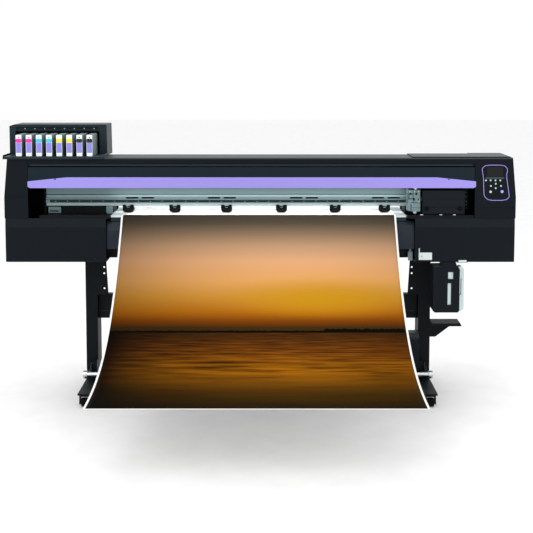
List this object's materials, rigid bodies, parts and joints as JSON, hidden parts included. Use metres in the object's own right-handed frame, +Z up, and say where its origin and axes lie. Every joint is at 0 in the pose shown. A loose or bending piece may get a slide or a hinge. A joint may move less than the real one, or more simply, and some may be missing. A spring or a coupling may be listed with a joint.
{
  "type": "printer cutter",
  "caption": "Roll-fed wide-format print-and-cut machine on a caster stand, with hinged front cover, sliding carriage, ink cartridges, waste tank and a printed sheet.",
  "frame": {"origin": "centre of the bounding box in X and Y, on the floor under the casters", "axes": "+X to the operator's right, +Y to the rear, +Z up; the printed sheet runs forward to -Y"},
  "size_m": [2.54, 1.775, 1.392],
  "materials": {
    "cover": "fine-textured near-black moulded covers",
    "stand": "satin black powder coat",
    "chassis": "satin dark grey painted sheet",
    "guide": "satin bluish dark grey painted sheet",
    "trim": "light purple moulded band",
    "aluminium": "satin anodised extrusion",
    "steel": "bright turned steel",
    "carriage": "dark moulded plastic",
    "rubber": "black rubber",
    "grit": "grit-coated steel",
    "lever": "grey-green moulded lever",
    "cartridge": "grey-green cartridge case with a white front",
    "key": "pale moulded key",
    "panel": "dark panel sheet",
    "tank": "pale translucent tank plastic",
    "media": "coated white print media"
  },
  "bodies": {
    "machine": {"left_leg": "stand", "right_leg": "stand", "stand_cross_beam": "stand", "base_frame": "chassis", "carriage_beam": "aluminium", "platen": "aluminium", "front_paper_guide": "guide", "left_side_cover": "cover", "right_side_cover": "cover", "left_lower_cover": "cover", "right_lower_cover": "cover", "top_cover": "cover", "ink_unit_housing": "cover", "operation_panel": "panel", "waste_tank_cover": "cover", "take_up_drive_unit": "cover", "media_sheet": "media"},
    "front_cover": {"front_cover": "cover", "front_trim": "trim"},
    "ink_cartridge_1": {"ink_cartridge_1": "cartridge"},
    "ink_cartridge_2": {"ink_cartridge_2": "cartridge"},
    "ink_cartridge_3": {"ink_cartridge_3": "cartridge"},
    "ink_cartridge_4": {"ink_cartridge_4": "cartridge"},
    "ink_cartridge_5": {"ink_cartridge_5": "cartridge"},
    "ink_cartridge_6": {"ink_cartridge_6": "cartridge"},
    "ink_cartridge_7": {"ink_cartridge_7": "cartridge"},
    "ink_cartridge_8": {"ink_cartridge_8": "cartridge"},
    "carriage": {"print_carriage": "carriage", "cutter_head": "aluminium"},
    "cutter_holder": {"cutter_holder": "steel"},
    "grit_roller": {"grit_roller": "grit"},
    "pinch_bar": {"pinch_roller_bar": "carriage"},
    "pinch_roller_1": {"pinch_roller_1": "rubber"},
    "pinch_roller_2": {"pinch_roller_2": "rubber"},
    "pinch_roller_3": {"pinch_roller_3": "rubber"},
    "pinch_roller_4": {"pinch_roller_4": "rubber"},
    "pinch_roller_5": {"pinch_roller_5": "rubber"},
    "pinch_roller_6": {"pinch_roller_6": "rubber"},
    "clamp_lever": {"clamp_lever": "lever"},
    "function_key_1": {"function_key_1": "key"},
    "function_key_2": {"function_key_2": "key"},
    "function_key_3": {"function_key_3": "key"},
    "function_key_4": {"function_key_4": "key"},
    "jog_key_up": {"jog_key_up": "key"},
    "jog_key_left": {"jog_key_left": "key"},
    "jog_key_right": {"jog_key_right": "key"},
    "jog_key_down": {"jog_key_down": "key"},
    "end_key": {"end_key": "key"},
    "enter_key": {"enter_key": "key"},
    "caster_front_left": {"caster_fork_front_left": "stand"},
    "wheel_front_left": {"caster_wheel_front_left": "rubber"},
    "caster_front_right": {"caster_fork_front_right": "stand"},
    "wheel_front_right": {"caster_wheel_front_right": "rubber"},
    "caster_rear_left": {"caster_fork_rear_left": "stand"},
    "wheel_rear_left": {"caster_wheel_rear_left": "rubber"},
    "caster_rear_right": {"caster_fork_rear_right": "stand"},
    "wheel_rear_right": {"caster_wheel_rear_right": "rubber"},
    "tension_bar": {"tension_bar": "steel"},
    "supply_roll": {"supply_roll": "media"},
    "waste_tank": {"waste_tank": "tank"}
  },
  "joints": [
    {"name": "front_cover_hinge", "type": "hinge", "parent": "machine", "child": "front_cover", "pos_m": [0, 0.3055, 1.188], "axis": [-1, 0, 0], "range_deg": [0, 80]},
    {"name": "ink_cartridge_1_slide", "type": "slide", "parent": "machine", "child": "ink_cartridge_1", "axis": [0, -1, 0], "range_m": [0, 0.2]},
    {"name": "ink_cartridge_2_slide", "type": "slide", "parent": "machine", "child": "ink_cartridge_2", "axis": [0, -1, 0], "range_m": [0, 0.2]},
    {"name": "ink_cartridge_3_slide", "type": "slide", "parent": "machine", "child": "ink_cartridge_3", "axis": [0, -1, 0], "range_m": [0, 0.2]},
    {"name": "ink_cartridge_4_slide", "type": "slide", "parent": "machine", "child": "ink_cartridge_4", "axis": [0, -1, 0], "range_m": [0, 0.2]},
    {"name": "ink_cartridge_5_slide", "type": "slide", "parent": "machine", "child": "ink_cartridge_5", "axis": [0, -1, 0], "range_m": [0, 0.2]},
    {"name": "ink_cartridge_6_slide", "type": "slide", "parent": "machine", "child": "ink_cartridge_6", "axis": [0, -1, 0], "range_m": [0, 0.2]},
    {"name": "ink_cartridge_7_slide", "type": "slide", "parent": "machine", "child": "ink_cartridge_7", "axis": [0, -1, 0], "range_m": [0, 0.2]},
    {"name": "ink_cartridge_8_slide", "type": "slide", "parent": "machine", "child": "ink_cartridge_8", "axis": [0, -1, 0], "range_m": [0, 0.2]},
    {"name": "carriage_slide", "type": "slide", "parent": "machine", "child": "carriage", "axis": [1, 0, 0], "range_m": [-1.8, 0]},
    {"name": "cutter_lift", "type": "slide", "parent": "carriage", "child": "cutter_holder", "axis": [0, 0, 1], "range_m": [-0.005, 0], "stiffness_N_per_m": 300, "springref_m": 0.004},
    {"name": "grit_roller_spin", "type": "hinge", "parent": "machine", "child": "grit_roller", "pos_m": [0, 0.4675, 0.9297], "axis": [1, 0, 0], "continuous": true},
    {"name": "pinch_bar_lift", "type": "hinge", "parent": "machine", "child": "pinch_bar", "pos_m": [0, 0.5475, 0.973], "axis": [-1, 0, 0], "range_deg": [0, 3]},
    {"name": "pinch_roller_1_spin", "type": "hinge", "parent": "pinch_bar", "child": "pinch_roller_1", "pos_m": [-0.671, 0.4675, 0.9523], "axis": [1, 0, 0], "continuous": true},
    {"name": "pinch_roller_2_spin", "type": "hinge", "parent": "pinch_bar", "child": "pinch_roller_2", "pos_m": [-0.434, 0.4675, 0.9523], "axis": [1, 0, 0], "continuous": true},
    {"name": "pinch_roller_3_spin", "type": "hinge", "parent": "pinch_bar", "child": "pinch_roller_3", "pos_m": [-0.171, 0.4675, 0.9523], "axis": [1, 0, 0], "continuous": true},
    {"name": "pinch_roller_4_spin", "type": "hinge", "parent": "pinch_bar", "child": "pinch_roller_4", "pos_m": [0.108, 0.4675, 0.9523], "axis": [1, 0, 0], "continuous": true},
    {"name": "pinch_roller_5_spin", "type": "hinge", "parent": "pinch_bar", "child": "pinch_roller_5", "pos_m": [0.381, 0.4675, 0.9523], "axis": [1, 0, 0], "continuous": true},
    {"name": "pinch_roller_6_spin", "type": "hinge", "parent": "pinch_bar", "child": "pinch_roller_6", "pos_m": [0.632, 0.4675, 0.9523], "axis": [1, 0, 0], "continuous": true},
    {"name": "clamp_lever_hinge", "type": "hinge", "parent": "machine", "child": "clamp_lever", "pos_m": [0.755, 0.3525, 0.785], "axis": [-1, 0, 0], "range_deg": [0, 45]},
    {"name": "function_key_1_press", "type": "slide", "parent": "machine", "child": "function_key_1", "axis": [0, 1, 0], "range_m": [0, 0.001], "stiffness_N_per_m": 600, "springref_m": -0.0003},
    {"name": "function_key_2_press", "type": "slide", "parent": "machine", "child": "function_key_2", "axis": [0, 1, 0], "range_m": [0, 0.001], "stiffness_N_per_m": 600, "springref_m": -0.0003},
    {"name": "function_key_3_press", "type": "slide", "parent": "machine", "child": "function_key_3", "axis": [0, 1, 0], "range_m": [0, 0.001], "stiffness_N_per_m": 600, "springref_m": -0.0003},
    {"name": "function_key_4_press", "type": "slide", "parent": "machine", "child": "function_key_4", "axis": [0, 1, 0], "range_m": [0, 0.001], "stiffness_N_per_m": 600, "springref_m": -0.0003},
    {"name": "jog_key_up_press", "type": "slide", "parent": "machine", "child": "jog_key_up", "axis": [0, 1, 0], "range_m": [0, 0.001], "stiffness_N_per_m": 600, "springref_m": -0.0003},
    {"name": "jog_key_left_press", "type": "slide", "parent": "machine", "child": "jog_key_left", "axis": [0, 1, 0], "range_m": [0, 0.001], "stiffness_N_per_m": 600, "springref_m": -0.0003},
    {"name": "jog_key_right_press", "type": "slide", "parent": "machine", "child": "jog_key_right", "axis": [0, 1, 0], "range_m": [0, 0.001], "stiffness_N_per_m": 600, "springref_m": -0.0003},
    {"name": "jog_key_down_press", "type": "slide", "parent": "machine", "child": "jog_key_down", "axis": [0, 1, 0], "range_m": [0, 0.001], "stiffness_N_per_m": 600, "springref_m": -0.0003},
    {"name": "end_key_press", "type": "slide", "parent": "machine", "child": "end_key", "axis": [0, 1, 0], "range_m": [0, 0.001], "stiffness_N_per_m": 600, "springref_m": -0.0003},
    {"name": "enter_key_press", "type": "slide", "parent": "machine", "child": "enter_key", "axis": [0, 1, 0], "range_m": [0, 0.001], "stiffness_N_per_m": 600, "springref_m": -0.0003},
    {"name": "caster_front_left_swivel", "type": "hinge", "parent": "machine", "child": "caster_front_left", "pos_m": [-0.8715, 0.2325, 0.06], "axis": [0, 0, 1], "continuous": true},
    {"name": "wheel_front_left_spin", "type": "hinge", "parent": "caster_front_left", "child": "wheel_front_left", "pos_m": [-0.8715, 0.2185, 0.0228], "axis": [1, 0, 0], "continuous": true},
    {"name": "caster_front_right_swivel", "type": "hinge", "parent": "machine", "child": "caster_front_right", "pos_m": [0.8475, 0.2325, 0.06], "axis": [0, 0, 1], "continuous": true},
    {"name": "wheel_front_right_spin", "type": "hinge", "parent": "caster_front_right", "child": "wheel_front_right", "pos_m": [0.8475, 0.2185, 0.0228], "axis": [1, 0, 0], "continuous": true},
    {"name": "caster_rear_left_swivel", "type": "hinge", "parent": "machine", "child": "caster_rear_left", "pos_m": [-0.8715, 0.8425, 0.06], "axis": [0, 0, 1], "continuous": true},
    {"name": "wheel_rear_left_spin", "type": "hinge", "parent": "caster_rear_left", "child": "wheel_rear_left", "pos_m": [-0.8715, 0.8565, 0.0228], "axis": [1, 0, 0], "continuous": true},
    {"name": "caster_rear_right_swivel", "type": "hinge", "parent": "machine", "child": "caster_rear_right", "pos_m": [0.8475, 0.8425, 0.06], "axis": [0, 0, 1], "continuous": true},
    {"name": "wheel_rear_right_spin", "type": "hinge", "parent": "caster_rear_right", "child": "wheel_rear_right", "pos_m": [0.8475, 0.8565, 0.0228], "axis": [1, 0, 0], "continuous": true},
    {"name": "tension_bar_swing", "type": "hinge", "parent": "machine", "child": "tension_bar", "pos_m": [0, 0.4525, 0.15], "axis": [-1, 0, 0], "range_deg": [0, 60]},
    {"name": "supply_roll_spin", "type": "hinge", "parent": "machine", "child": "supply_roll", "pos_m": [-0.0075, 0.7525, 0.64], "axis": [1, 0, 0], "continuous": true},
    {"name": "waste_tank_slide", "type": "slide", "parent": "machine", "child": "waste_tank", "axis": [1, 0, 0], "range_m": [0, 0.2]}
  ],
  "couplings": [
    {"joint": "pinch_roller_1_spin", "follows": "grit_roller_spin", "ratio": -1.3333},
    {"joint": "pinch_roller_2_spin", "follows": "grit_roller_spin", "ratio": -1.3333},
    {"joint": "pinch_roller_3_spin", "follows": "grit_roller_spin", "ratio": -1.3333},
    {"joint": "pinch_roller_4_spin", "follows": "grit_roller_spin", "ratio": -1.3333},
    {"joint": "pinch_roller_5_spin", "follows": "grit_roller_spin", "ratio": -1.3333},
    {"joint": "pinch_roller_6_spin", "follows": "grit_roller_spin", "ratio": -1.3333},
    {"joint": "pinch_bar_lift", "follows": "clamp_lever_hinge", "ratio": 0.066667}
  ]
}
